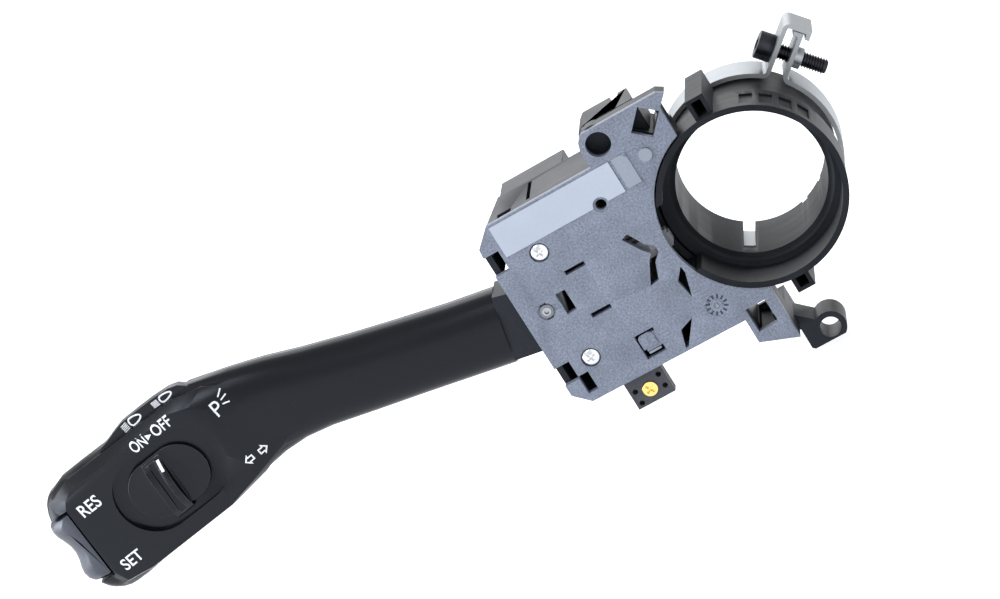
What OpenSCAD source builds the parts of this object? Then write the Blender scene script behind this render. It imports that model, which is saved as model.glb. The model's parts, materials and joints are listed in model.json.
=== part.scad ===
// Combination stalk switch for a steering column, with a cruise control paddle.
// +Y runs along the column away from the driver, +Z is up and +X is to the driver's right.
// The origin is the middle of the column bore. The stalk points to -X.

/* [Column collar] */
// Radius of the bore that clamps round the steering column tube
bore_r = 18.3; // [17:0.1:19]
// Length of that bore
bore_len = 23; // [19:0.5:25]
// Wall of the sleeve round the bore
sleeve_wall = 2.7; // [2.2:0.1:3]
// Outer radius of the cup in front of the sleeve
cup_r = 22.8; // [22.6:0.1:24]
// Wall of the cup
cup_wall = 1.5; // [1.2:0.1:1.5]
// Depth of the cup, from its rim to the front end of the bore
cup_depth = 12.5; // [11:0.5:14]
// Half width of the opening in the cup for the cancelling finger, measured up and down
cup_gap = 9.2; // [8:0.2:11]
// Width across of the two plug-in sockets
socket_w = 4.6; // [4:0.1:5.4]
// Length of the sockets
socket_len = 20; // [14:0.5:21]

/* [Clamp] */
// Angle of the clamp's ears above the driver's right
ear_angle = 40; // [30:1:60]
// Width of the steel band
band_w = 10.8; // [9:0.1:12]
// Thickness of the steel band
band_t = 1.1; // [0.8:0.1:1.3]
// Play of the loose band round the sleeve
band_slack = 0.35; // [0:0.05:0.5]
// Distance between the insides of the ears
ear_gap = 3.1; // [2.4:0.1:4]
// Length of the ears, from the band outwards
ear_len = 14.6; // [13:0.2:17]
// Height of the clamp screw above the band
screw_rise = 4.6; // [4.2:0.1:6]
// Radius of the clamp screw's thread
screw_r = 2; // [1.5:0.1:2.2]
// Length of the clamp screw under its head
screw_len = 14; // [12:0.5:18]

/* [Switch case] */
// Distance from the column axis to the stalk's end of the case
case_left = 63.2; // [60:0.2:66]
// Distance from the column axis to the near edge of the case
case_right = 7.8; // [7:0.1:9]
// Height of the long upper edge above the column axis
case_top = 25.2; // [24.6:0.1:27]
// Depth of the lower edge below the column axis
case_bottom = 26.4; // [26:0.1:28]
// Height of the raised upper corner above the column axis
horn_top = 33.6; // [33:0.1:35]
// Distance from the column axis to the left edge of that corner
horn_left = 28.6; // [28:0.1:29.5]
// Depth of the case behind the face of its cover
case_depth = 19; // [18.6:0.1:21]
// Depth of the case along its edge beside the column
edge_depth = 8; // [7:0.2:9]
// Depth of the raised upper corner behind the face of the cover
horn_depth = 5.6; // [5:0.1:8]
// How far the cover's face lies behind the rim of the cup
face_setback = 1; // [0.5:0.1:1.5]
// Wall of the case
case_wall = 1.6; // [1.2:0.1:1.8]
// Floor of the case
case_floor = 1.2; // [1:0.1:1.5]
// Thickness of the cover plate
cover_t = 1.8; // [1.5:0.1:2]
// Radius of the hole in the fixing lug
lug_hole_r = 2.6; // [2.2:0.1:2.8]
// Radius of the locating hole in the upper corner
peg_hole_r = 3.1; // [2.6:0.1:3.2]

/* [Stalk bearing] */
// Distance from the column axis to the axis that the stalk turns on
pivot_dist = 57.1; // [56.5:0.1:58]
// Rise of the stalk above level, in degrees
stalk_rise = 12; // [9:0.5:13]
// Radius of the turn trunnion that shows in the cover
trunnion_r = 1.7; // [1.4:0.1:1.9]
// Radius of the pin for the main beam movement
dip_pin_r = 1.2; // [1:0.1:1.3]
// Radius of the detent plunger
plunger_r = 1.9; // [1.7:0.1:2]
// Distance from the pivot to the face that the plunger runs on
detent_reach = 14.05; // [13.6:0.05:14.2]

/* [Stalk] */
// Length of the neck, from the pivot to the end of the shells
neck_len = 12; // [11.5:0.1:13]
// Half width of the stalk at the neck
neck_half = 9.6; // [9.2:0.1:10]
// Half thickness of the stalk at the neck
neck_thick = 6.4; // [6.2:0.1:6.8]
// Distance along the stalk from the pivot to the middle of the paddle
paddle_dist = 101.5; // [99:0.5:104]
// Angle that the paddle bends down from the stalk
paddle_bend = 21; // [18:0.5:23]
// How far the paddle lies nearer to the driver than the neck
paddle_shift = 8; // [5:0.5:10]
// Half width of the paddle
paddle_half = 15.7; // [15:0.1:17]
// Half thickness of the paddle
paddle_thick = 6; // [6:0.1:6.6]
// Distance from the middle of the paddle to its end
paddle_end = 32; // [31:0.5:33]
// Wall of the shells
shell_wall = 1.8; // [1.5:0.1:2]
// Width of the SET and RES rocker
rocker_w = 19.2; // [18:0.1:20]
// Travel of the cruise slider each way
slide_travel = 4; // [3:0.5:4.5]

/* [Hidden] */
$fn = 64;
eps = 0.01;
// Running clearance of a pin or plunger in its hole
run_gap = 0.05;

// Levels along the column
rim_y = -bore_len / 2 - cup_depth;
face_y = rim_y + face_setback;
seat_y = face_y + cover_t;
back_y = face_y + case_depth;
floor_y = back_y - case_floor;
edge_y = face_y + edge_depth;
horn_y = face_y + horn_depth;
ledge_y = -bore_len / 2 - 1.5;
sleeve_r = bore_r + sleeve_wall;
cup_in_r = cup_r - cup_wall;
cup_back_y = ledge_y + 2;
band_y = bore_len / 2 + 1.1 - band_w;
band_in_r = sleeve_r + run_gap + band_slack;
band_out_r = band_in_r + band_t;

// The stalk's pivot, and where parts of the mechanism lie on its depth
pivot = [-pivot_dist, face_y + case_depth / 2 - 0.5, -0.5];
carrier_half = case_depth / 2 - 3.3;
tongue_half = carrier_half - 2.8;

// Black and grey of the mouldings
black = "#26272a";
cover_grey = "#8d94a5";

// Sweeps a flat shape drawn in X and Z between two levels along the column.
module slab(y0, y1) {
    translate([0, y1, 0]) rotate([90, 0, 0]) linear_extrude(y1 - y0) children();
}

// A round bar along the column.
module bar(x, z, r, y0, y1) {
    translate([x, y0, z]) rotate([-90, 0, 0]) cylinder(r = r, h = y1 - y0);
}

// A box between two corners.
module block(a, b) {
    translate(a) cube(b - a);
}

// A stadium outline: two half circles of radius r, their centres len apart.
module stadium(r, len) {
    translate([-len / 2, 0]) circle(r);
    translate([len / 2, 0]) circle(r);
    square([len, 2 * r], center = true);
}

// Moves each corner of an outline inwards by d, along both of its edges.
function unit(v) = v / norm(v);
function inner_normal(a, b) = let (t = unit(b - a)) [-t[1], t[0]];
function inset(p, d) = let (n = len(p)) [for (i = [0 : n - 1])
    let (m = inner_normal(p[(i + n - 1) % n], p[i]), k = inner_normal(p[i], p[(i + 1) % n]))
    p[i] + (m + k) * d / (1 + m * k)];

// Places what follows in the frame of the stalk: -X runs along it, away from the pivot.
module on_stalk() {
    translate(pivot) rotate([0, stalk_rise, 0]) children();
}

// Places what follows in the frame of the paddle, in its middle plane.
module on_paddle() {
    on_stalk() translate([-paddle_dist, -paddle_shift, -11.5]) rotate([0, -paddle_bend, 0]) children();
}

// Outline of the case in X and Z, anticlockwise from the lower right corner. Its upper right
// corner is given: the hooked one, or the square one that the cavity inside follows.
hooked = [[-case_right + 2.6, horn_top - 1.2], [-case_right + 0.7, horn_top]];
square_corner = [[-case_right, horn_top]];
function case_outline(corner = hooked) = concat([[-case_right, -case_bottom - 10.3], [-case_right, 29.8]], corner, [
    [-horn_left + 1.4, horn_top], [-horn_left - 0.3, horn_top - 1.6],
    [-horn_left - 0.9, horn_top - 3.6], [-horn_left - 0.9, case_top],
    [-case_left + 4.6, case_top], [-case_left + 0.2, case_top - 4.2], [-case_left, case_top - 6],
    [-case_left, -case_bottom + 4.2], [-case_left + 3.8, -case_bottom + 0.4],
    [-17.1, -case_bottom], [-17.1, -case_bottom - 6.6]]);

cover_screw_at = [[-50.9, 13.2], [-54, -16]];
collar_screw_at = [[-27, 10.5], [-27, -10.5]];
peg_at = [-24.9, 29.4];
lug_at = [-1.6, -cup_r - 18.1];
cup_clear_r = cup_r + 0.4;
mouth_low = -14.6;
mouth_high = 12;
upper_window = [[-12.3, 32.7], [-8.3, 29.2], [-12.9, 24.3], [-16.8, 27.9]];
lower_window = [[-15.8, -24.1], [-10.5, -24.1], [-10.4, -30.6], [-15.7, -30.6]];

// The column collar: cup, ledge and sleeve in one moulding, with two sockets and a saddle.
saddle_left = -31;
saddle_y = back_y + 3;
sleeve_slits = [[239.4, 3, 19.5], [287, 2, 1.6], [307, 1.6, 1.4], [150, 2, 12]];
module column_collar() {
    color(black) difference() {
        union() {
            rotate([-90, 0, 0]) rotate_extrude($fn = 128) polygon([
                [cup_in_r, rim_y], [cup_r, rim_y], [cup_r, rim_y + 1.2], [cup_r - 0.2, rim_y + 1.4],
                [cup_r - 0.2, cup_back_y], [sleeve_r, cup_back_y], [sleeve_r, bore_len / 2],
                [bore_r, bore_len / 2], [bore_r, -bore_len / 2], [bore_r + 0.8, ledge_y + 0.9],
                [bore_r + 0.8, ledge_y + 0.5], [bore_r + 1.5, ledge_y], [cup_in_r, ledge_y]]);
            socket(5, 0);
            rotate([0, 180, 0]) socket(4.1, 0.4);
            difference() {
                block([saddle_left, back_y, -14], [-bore_r, saddle_y, 14]);
                bar(0, 0, sleeve_r - 0.4, back_y - 1, saddle_y + 1);
            }
            rotate([0, 23, 0]) block([sleeve_r - 0.5, cup_back_y - 1, -1.5], [sleeve_r + 0.8, band_y - 0.6, 1.5]);
        }
        block([-cup_r - 1, rim_y - 1, -cup_gap], [-bore_r * 0.8, ledge_y, cup_gap]);
        for (s = sleeve_slits) rotate([0, -s[0], 0])
            block([bore_r - 1, bore_len / 2 - s[2], -s[1] / 2], [cup_r, bore_len / 2 + 1, s[1] / 2]);
        for (a = [64, 52, 40, 28]) rotate([0, -a, 0])
            block([cup_r - 0.7, rim_y + 3, -1.6], [cup_r + 1, cup_back_y - 3, 1.6]);
        for (p = collar_screw_at) bar(p[0], p[1], 1.3, back_y - 1, saddle_y + 1);
    }
}

// One plug-in socket above the cup, with the rib that carries it on the sleeve.
module socket(rise, shift) {
    z0 = cup_r - 0.6;
    z1 = cup_r + rise;
    y0 = rim_y + 1.5;
    difference() {
        union() {
            block([shift - socket_w / 2, y0, z0], [shift + socket_w / 2, y0 + socket_len, z1]);
            block([-0.9, cup_back_y - 1, sleeve_r - 0.3], [0.9, band_y - 0.6, z0 + 1]);
        }
        block([shift - 1.25, y0 - 1, cup_r + 0.1], [shift + 1.25, y0 + socket_len - 3, z1 - 0.9]);
    }
}

module collar_screws() {
    color("#b9bcc0") for (p = collar_screw_at) {
        bar(p[0], p[1], 1.2, floor_y - 4, saddle_y);
        bar(p[0], p[1], 2.2, saddle_y, saddle_y + 1.5);
    }
}

// The frame of the clamp's ears: +X points outwards between them, and their mid plane lies
// a little above the column axis.
ear_shift = 2;
screw_out = band_out_r + screw_rise;
module on_ears() {
    translate([band_slack, band_y, 0]) rotate([0, -ear_angle, 0]) translate([0, 0, ear_shift]) children();
}

// An arc of flat steel between the radii r0 and r1 and between two angles.
module arc(r0, r1, a0, a1) {
    intersection() {
        difference() {
            circle(r1);
            circle(r0);
        }
        polygon([[0, 0], 3 * r1 * [cos(a0), sin(a0)], 3 * r1 * [cos((a0 + a1) / 2), sin((a0 + a1) / 2)],
                 3 * r1 * [cos(a1), sin(a1)]]);
    }
}

// The steel band round the sleeve, bent out into two ears; the left ear is folded over the right.
bend_r = 0.9;
nut_r = screw_r + 0.5;
module clamp_band() {
    tip = band_in_r + ear_len - ear_shift / 8;
    edge = ear_gap / 2 + band_t;
    mid = band_out_r + bend_r;
    va = ear_shift + edge + bend_r;
    vb = ear_shift - edge - bend_r;
    ua = sqrt(mid * mid - va * va);
    ub = sqrt(mid * mid - vb * vb);
    aa = atan2(va, ua);
    ab = atan2(vb, ub);
    color("#d4d7da") difference() {
        translate([band_slack, band_y, 0]) rotate([0, -ear_angle, 0]) slab(0, band_w) {
            difference() {
                circle(band_out_r, $fn = 128);
                circle(band_in_r, $fn = 128);
                polygon([[0, 0], 40 * [cos(aa), sin(aa)], 40 * [cos(ab), sin(ab)]]);
            }
            translate([ua, va]) arc(bend_r + eps, bend_r + band_t - eps, 176 + aa, 274);
            translate([ub, vb]) arc(bend_r + eps, bend_r + band_t - eps, 184 + ab, 86);
            translate([ua, ear_shift + ear_gap / 2]) square([tip - ua - 1.6, band_t]);
            translate([tip - 1.6, ear_shift + edge - 1.6]) arc(1.6 - band_t + eps, 1.6 - eps, -4, 94);
            translate([tip - band_t, ear_shift - edge - 1.2]) square([band_t, 2 * edge - 0.4]);
            translate([tip - 2.5, ear_shift - edge - 1.7]) square([2.5, band_t]);
            translate([ub, ear_shift - edge]) square([tip - band_t - 1.2 - ub, band_t]);
            translate([tip - band_t - 1.3, ear_shift - edge]) square([band_t, band_t + 1.4]);
        }
        on_ears() {
            translate([screw_out, band_w / 2, 0]) cylinder(r = screw_r + 0.15, h = edge + 1);
            translate([screw_out, band_w / 2, -edge - 1]) cylinder(r = nut_r + 0.03, h = edge + 1);
        }
    }
}

// The socket head screw through both ears.
module clamp_screw() {
    color("#1b1c1e") on_ears() translate([screw_out, band_w / 2, ear_gap / 2 + band_t]) {
        translate([0, 0, -screw_len]) cylinder(r = screw_r, h = screw_len);
        difference() {
            cylinder(r = 3.5, h = 4);
            translate([0, 0, 1.7]) cylinder(r = 1.75, h = 3, $fn = 6);
        }
    }
}

// The round press nut in the right ear.
module clamp_nut() {
    color("#c3c6c9") on_ears() translate([screw_out, band_w / 2, -ear_gap / 2 - band_t]) difference() {
        union() {
            translate([0, 0, -2.2]) cylinder(r = nut_r + 0.15, h = 2.2);
            translate([0, 0, -1]) cylinder(r = nut_r, h = band_t + 1);
        }
        translate([0, 0, -3]) cylinder(r = screw_r + 0.03, h = 5);
    }
}

// The tray that holds the mechanism. Its edge beside the column is shallower than the rest.
module housing_base() {
    outer = case_outline();
    inner = inset(case_outline(square_corner), case_wall);
    color(black) difference() {
        union() {
            difference() {
                slab(seat_y, back_y) polygon(outer);
                slab(seat_y - 1, floor_y) polygon(inner);
            }
            intersection() {
                slab(seat_y, back_y) polygon(outer);
                bar(0, 0, cup_clear_r + case_wall, seat_y, back_y);
            }
            intersection() {
                slab(seat_y + 1, back_y) polygon(outer);
                union() {
                    corner_wedge(3.4);
                    block([-horn_left - 2, horn_y - 2, case_top - case_wall], [0, horn_y + 2, horn_top]);
                    block([-10.5, edge_y - case_floor, -40], [0, edge_y, 40]);
                    block([-10.5 - case_wall, edge_y - 1, -40], [-10.5, back_y, 40]);
                    block([-30, seat_y + 4, case_top - case_wall], [0, back_y, case_top]);
                }
            }
            for (p = cover_screw_at) bar(p[0], p[1], 2.6, seat_y, back_y);
            for (p = collar_screw_at) bar(p[0], p[1], 2.8, floor_y - 4.5, back_y);
            bar(peg_at[0], peg_at[1], peg_hole_r + 1.4, seat_y, horn_y);
            bar(pivot[0], pivot[2], 4, floor_y - 1.6, back_y);
            lug();
        }
        bar(0, 0, cup_clear_r, rim_y, back_y + 10);
        corner_wedge(0);
        block([-40, horn_y, case_top], [0, back_y + 1, horn_top + 1]);
        block([-10.5, edge_y, -case_bottom - 3], [0, back_y + 1, horn_top + 1]);
        block([-case_left - 1, seat_y - 1, mouth_low], [-case_left + case_wall + 1, floor_y - 0.6, mouth_high]);
        block([-cup_clear_r - case_wall - 1, seat_y - 1, -cup_gap], [-18, ledge_y, cup_gap]);
        for (p = cover_screw_at) bar(p[0], p[1], 1.1, seat_y - 1, back_y - 2);
        for (p = collar_screw_at) bar(p[0], p[1], 1.25, floor_y - 5, back_y + 1);
        bar(peg_at[0], peg_at[1], peg_hole_r, seat_y - 1, horn_y - 1);
        bar(pivot[0], pivot[2], 2.5 + run_gap, floor_y - 3, back_y - 0.5);
        block([-47.6, seat_y + 2, case_top - case_wall - 1], [-46.6, floor_y - 1, case_top + 1]);
        block([-55.6, seat_y - 1, case_top - case_wall - 1], [-51.8, seat_y + 2.6, case_top + 1]);
        slab(horn_y - 3, back_y + 1) polygon(upper_window);
        slab(edge_y - 3, back_y + 1) polygon(lower_window);
    }
}

// The upper left corner of the case is cut back along a plane that leans inwards with depth.
// This is the outside of that plane, moved inwards by d.
module corner_wedge(d) {
    translate([-case_left + 4.6, face_y, case_top]) rotate([0, 136.3, 0]) rotate([4.6, 0, 0])
        block([-6, 0, -8], [9, case_depth + 3, d]);
}

// The fixing lug below the column: a boss cut flat below, on an arm behind the case's lower corner.
module lug() {
    x = lug_at[0];
    z = lug_at[1];
    slab(edge_y, edge_y + 8.5) difference() {
        union() {
            polygon([[-12, -32.4], [x - 7.6, -32.4], [x - 2.2, z + 3.42],
                     [x, z], [x, z - 3.2], [x - 5.8, z - 3.2], [x - 6.5, z - 2.6], [x - 6.5, z + 3], [-12, -36.4]]);
            intersection() {
                translate(lug_at) circle(4.05);
                translate([x - 5, z - 3.2]) square([10, 8]);
            }
        }
        translate(lug_at) circle(lug_hole_r);
    }
}

// The grey cover plate with its slots, windows and notches.
module cover_plate() {
    left = -case_left;
    color(cover_grey) difference() {
        union() {
            slab(face_y, seat_y) polygon(case_outline());
            slab(face_y - 0.15, face_y + 0.1) translate([-58.3, 16.1]) square([33.2, 8.6]);
            slab(face_y - 0.15, face_y + 0.1) translate([-24.4, 16.3]) square([3.9, 8.4]);
            slab(face_y - 0.25, face_y + 0.1) translate([-16.6, 21.7]) circle(1.75);
        }
        bar(0, 0, cup_clear_r, rim_y, 0);
        slab(face_y - 1, seat_y + 1) {
            translate([left - 1, 13.1]) square([5, 5.5]);
            translate([left - 1, -19.3]) square([5, 5.1]);
            translate([left + 4 - eps, -23.8]) square([2.7, 5.1]);
            translate([-48.3, 5]) square([5.4, 1.2]);
            translate([-48.4, -7.5]) square([5.4, 1.2]);
            translate([-53.1, -3.6]) square([2.6, 5.8]);
            polygon([[-32.3, 6.1], [-30.5, 6.7], [-28.1, 2.3], [-26.2, 0.9], [-26.2, -1],
                     [-28.2, -2.8], [-29.8, -7.1], [-32.2, -7.4], [-29.4, -2], [-28, -0.3], [-29.5, 1.4]]);
            polygon([[-23.6, -6.7], [-23.4, -8.6], [-25.1, -14.8], [-26.1, -9.8]]);
            polygon([[-27.8, -19.4], [-32.2, -25.4], [-33, -25.4], [-31.7, -20.8]]);
            polygon(upper_window);
            polygon(lower_window);
            difference() {
                translate([-42.4, -24.3]) square([5.2, 7.6]);
                translate([-41.3, -21.6]) square([5, 4]);
                translate([-42.4, -24.3]) square([5.2, 0.9]);
            }
        }
        for (p = cover_screw_at) {
            bar(p[0], p[1], 2.45, face_y - 1, face_y + 1.1);
            bar(p[0], p[1], 1.2, face_y, seat_y + 1);
        }
        bar(peg_at[0], peg_at[1], peg_hole_r, face_y - 1, seat_y + 1);
        bar(-32, 16.2, 1.35, face_y - 1, seat_y + 1);
        bar(-32, 16.2, 1.9, face_y - 1, face_y + 0.2);
        bar(-21, -19.6, 2.8, face_y - 1, face_y + 0.15);
        bar(pivot[0], pivot[2], trunnion_r + run_gap, face_y - 1, seat_y + 1);
    }
}

// Two pan head screws with cross recesses.
module cover_screws() {
    color("#dcdee0") for (p = cover_screw_at) translate([p[0], face_y + 1.1, p[1]]) rotate([90, 0, 0]) {
        translate([0, 0, -9]) cylinder(r = 1.05, h = 9);
        difference() {
            intersection() {
                cylinder(r = 2.05, h = 1.3);
                translate([0, 0, -3.2]) sphere(4.45);
            }
            for (a = [0, 90]) rotate([0, 0, a + 20]) translate([-1.15, -0.25, 0.5]) cube([2.3, 0.5, 2]);
        }
    }
}

// The main connector behind the case, open to the rear, and its row of blades.
plug = [-57.5, -38.3];
plug_z = [6.5, 25];
plug_back = back_y + 10.5;
module connector_main() {
    color(black) difference() {
        slab(back_y, plug_back) polygon([[plug[0], plug_z[0]], [plug[1], plug_z[0]], [plug[1], plug_z[1]],
                                         [plug[0] + 1.5, plug_z[1]], [plug[0], plug_z[1] - 4.5]]);
        block([plug[0] + 1.5, back_y + 2, plug_z[0] + 1.5], [plug[1] - 1.5, plug_back + 1, plug_z[1] - 3.5]);
        for (p = main_pin_at) translate([p[0] - 0.75, back_y - 1, p[1] - 0.35]) cube([1.5, 4, 0.7]);
    }
}

main_pin_at = [for (i = [0 : 5], k = [0, 1]) [-53.6 + 2.5 * i, 11 + 6 * k]];
module connector_pins() {
    color("#c9a45a") for (p = main_pin_at)
        translate([p[0] - 0.75, back_y, p[1] - 0.35]) cube([1.5, 5.5, 0.7]);
}

// The small connector behind the raised corner, with a notch in its upper wall.
small_plug = [-28.8, -13.2];
small_back = face_y + 17.5;
module connector_small() {
    color(black) difference() {
        slab(horn_y, small_back) polygon([[small_plug[0], case_top], [small_plug[1], case_top],
                                          [small_plug[1], horn_top + 0.1], [small_plug[0] + 1.5, horn_top + 0.1],
                                          [small_plug[0], horn_top - 1.2]]);
        block([small_plug[0] + 1.5, horn_y + 3, case_top + 1.4], [-20.4, small_back + 1, horn_top - 1.8]);
        translate([0, 0, horn_top - 4]) linear_extrude(6)
            polygon([[-19.9, small_back + 1], [-17.9, horn_y + 0.5], [-17.5, small_back + 1]]);
        translate([0, 0, horn_top - 4]) linear_extrude(6)
            polygon([[small_plug[1] + 1, horn_y - 1], [small_plug[1], horn_y], [-15.2, small_back + 1], [-10, small_back + 1]]);
        for (p = small_pin_at) translate([p[0] - 0.4, horn_y - 1, p[1] - 0.4]) cube([0.8, 5, 0.8]);
    }
}

small_pin_at = [for (i = [0, 1]) [-25.4 + 3 * i, 29.2]];
module small_pins() {
    color("#c9a45a") for (p = small_pin_at)
        translate([p[0] - 0.4, horn_y, p[1] - 0.4]) cube([0.8, 7, 0.8]);
}

// The small black block under the case, held by a brass screw.
block_at = [-46.6, -31.5];
block_y = face_y + 4;
module terminal_block() {
    color(black) difference() {
        slab(block_y, block_y + 3.4) difference() {
            translate([block_at[0] - 5.1, -case_bottom - 8.6]) square([10.2, 8.6]);
            translate(block_at) circle(1.9 + run_gap);
        }
        for (x = [-1, 1], z = [-1, 1])
            bar(block_at[0] + 3.6 * x, block_at[1] + 2.3 * z * (x * z > 0 ? 1 : 0.45), 0.7, block_y - 1, block_y + 2);
    }
}

module terminal_screw() {
    color("#d8b25a") translate([block_at[0], block_y + 5, block_at[1]]) rotate([90, 0, 0]) difference() {
        cylinder(r = 1.9, h = 5.3);
        for (a = [0, 90]) rotate([0, 0, a + 30]) translate([-1.3, -0.25, 4.6]) cube([2.6, 0.5, 2]);
    }
}

// The frame over the inner end of the stalk: a dished face with three grooves, on two legs.
frame_x = -47;
frame_right = -41.2;
shelf_y = face_y + 6.4;
module guide_frame() {
    color(black) difference() {
        union() {
            block([frame_x, pivot[1] - 6.4, -11.5], [frame_right, floor_y - 4.4, 8.5]);
            block([frame_x, floor_y - 5, -13.8], [frame_right, floor_y, -9.3]);
            block([frame_x, floor_y - 5, 6.5], [frame_right, floor_y, 11.5]);
            block([frame_right - 1, shelf_y + 0.1, -3.6], [-35, shelf_y + 2.2, 3.6]);
            bar(-38, 0, 2.4, shelf_y + 0.1, shelf_y + 4.5);
        }
        translate(pivot) sphere(detent_reach, $fn = 96);
        for (a = [-10, 0, 10]) translate(pivot) rotate([0, stalk_rise + a, 0])
            translate([detent_reach - 0.9, 0, 0]) rotate([90, 0, 0]) cylinder(r = 1.45, h = 30, center = true);
        bar(-38, 0, 1.2, shelf_y - 1, shelf_y + 6);
    }
}

// The self-cancelling finger, its steel pin and its centring spring.
pawl_y = shelf_y - 3;
module cancel_pawl() {
    color("#a9abab") difference() {
        union() {
            slab(pawl_y, shelf_y) hull() {
                translate([-38, 0]) circle(2.9, $fn = 32);
                translate([-cup_in_r - 3, 0]) square([3, 4.4], center = true);
            }
            slab(pawl_y, shelf_y) polygon([[-cup_in_r - 4.5, 2.2], [-cup_in_r - 1, 1.3], [-cup_in_r - 1, -1.3], [-cup_in_r - 4.5, -2.2]]);
            bar(-cup_in_r - 5.9, 0.4, 0.9, seat_y + 0.3, pawl_y + eps);
        }
        bar(-38, 0, 1.2 + run_gap, pawl_y - 1, shelf_y + 1);
    }
}

module pawl_pin() {
    color("#c0c3c6") {
        bar(-38, 0, 1.19, seat_y + 0.3, shelf_y + 4.4);
        bar(-38, 0, 2, seat_y + 0.3, pawl_y - 0.1);
    }
}

// A wire hairpin round the pin's boss, which holds the finger upright.
module pawl_spring() {
    color("#b0b3b6") slab(shelf_y + 2.5, shelf_y + 3.3) translate([-38, 0]) {
        difference() {
            circle(3);
            circle(2.5);
        }
        for (s = [-1, 1]) translate([0, 2.75 * s - 0.25]) square([9, 0.5]);
    }
}

// The contact board on the floor of the case, with its brass tracks.
board_x = [-40.6, -31.5];
module contact_board() {
    color("#6c5b34") block([board_x[0], floor_y - 0.7, -15], [board_x[1], floor_y, 15]);
}

track_y = floor_y - 0.8;
module contact_tracks() {
    color("#c9a45a") for (i = [0 : 2], z = [-13, 1])
        block([board_x[0] + 0.8 + 2.8 * i, track_y, z], [board_x[0] + 2.6 + 2.8 * i, track_y + 0.1, z + 12]);
}

// The contact slide, which the carrier's peg pushes up and down, and its spring wipers.
slide_y = floor_y - 2.5;
peg_reach = 14.6;
peg_z = pivot[2] - peg_reach * sin(stalk_rise);
module contact_slider() {
    color("#d9d6cc") difference() {
        union() {
            block([frame_right + 0.3, slide_y, -7], [board_x[1] - 0.4, slide_y + 1.4, 5]);
            block([frame_x + 0.4, slide_y, peg_z - 2.6], [frame_right + 1, slide_y + 1.4, peg_z + 2.6]);
        }
        block([frame_x + 1.8, slide_y - 1, peg_z - 1.32], [frame_right + 0.3, slide_y + 2, peg_z + 1.32]);
    }
}

module slider_wipers() {
    color("#c9a45a") for (i = [0 : 2])
        block([board_x[0] + 1.1 + 2.8 * i, slide_y + 1.4, -5], [board_x[0] + 2.3 + 2.8 * i, track_y - 0.02, 4.4]);
}

// The gimbal ring: trunnions along the column, the cross pin for the main beam movement,
// and a lower arm with the peg that drives the contact slide.
module pivot_carrier() {
    h = carrier_half;
    color("#d9d6cc") {
        on_stalk() {
            difference() {
                block([-2.4, -h, -7.2], [4.6, h, 7.2]);
                block([-3, -h + 1.9, -4], [5, h - 1.9, 4]);
                translate([0, 0, -8]) cylinder(r = dip_pin_r + 0.01, h = 16);
            }
            difference() {
                bar(0, 0, trunnion_r, face_y - pivot[1], -h + 1);
                bar(0, 0, 0.6, face_y - pivot[1] - 1, -h);
            }
            bar(0, 0, 3, seat_y - pivot[1] + 0.1, -h + eps);
            bar(0, 0, 2.5, h - 1, floor_y - pivot[1] + 0.4);
            block([4, h - 1.3, -1.6], [peg_reach + 1.4, h, 1.6]);
            bar(peg_reach, 0, 1.2, h - eps, floor_y - pivot[1] - 1.2);
        }
    }
}

module dip_pin() {
    color("#c0c3c6") on_stalk() translate([0, 0, -7.2]) cylinder(r = dip_pin_r, h = 14.4);
}

// The root that carries the stalk: neck, tongue with the plunger's bore, and a plug in the shells.
tongue_end = 12;
neck_v = -2.9;
module lever_root() {
    t = plunger_r + run_gap;
    color("#2b2c2f") on_stalk() difference() {
        union() {
            slab(-5.8, 5.8) polygon([[-3.3, 6], [-neck_len, neck_half - 3.2], [-neck_len, neck_v - neck_half + 1.8], [0.6, neck_v - neck_half + 2.3], [0.6, -7.9], [-3.3, -7.9]]);
            block([-4, -tongue_half, -3.7], [tongue_end, tongue_half, 3.7]);
            block([-neck_len - 9, -4.2, neck_v - 7], [-neck_len + 1, 4.2, neck_v + 7]);
        }
        translate([0, 0, -6]) cylinder(r = dip_pin_r + run_gap, h = 12);
        translate([3.2, 0, 0]) rotate([0, 90, 0]) cylinder(r = t, h = tongue_end);
        block([4.6, -4, -t], [7.6, 0, t]);
    }
}

// A wound spring: a wire of radius w swept along a helix of radius r.
module helix(r, w, turns, len) {
    sides = 8;
    steps = 14 * turns;
    rings = [for (i = [0 : steps]) let (a = 360 * turns * i / steps)
        for (k = [0 : sides - 1]) let (b = 360 * k / sides, q = r + w * cos(b))
            [len * i / steps + w * sin(b), q * cos(a), q * sin(a)]];
    polyhedron(rings, concat(
        [for (i = [0 : steps - 1], k = [0 : sides - 1])
            [i * sides + k, i * sides + (k + 1) % sides, (i + 1) * sides + (k + 1) % sides, (i + 1) * sides + k]],
        [[for (k = [0 : sides - 1]) sides - 1 - k], [for (k = [0 : sides - 1]) steps * sides + k]]));
}

module detent_spring() {
    color("#b98a52") on_stalk() translate([3.42, 0, 0]) helix(1, 0.2, 8, 5.5);
}

module detent_plunger() {
    nose = detent_reach - run_gap;
    color("#e4e2da") on_stalk() rotate([0, 90, 0]) rotate_extrude() polygon([
        [0, 9.8], [1.3, 9.8], [1.3, 7.4], [plunger_r, 7.4], [plunger_r, nose - 1.9], [1.35, nose - 1], [0.95, nose - 0.4], [0.5, nose - 0.08], [0, nose]]);
}

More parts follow.
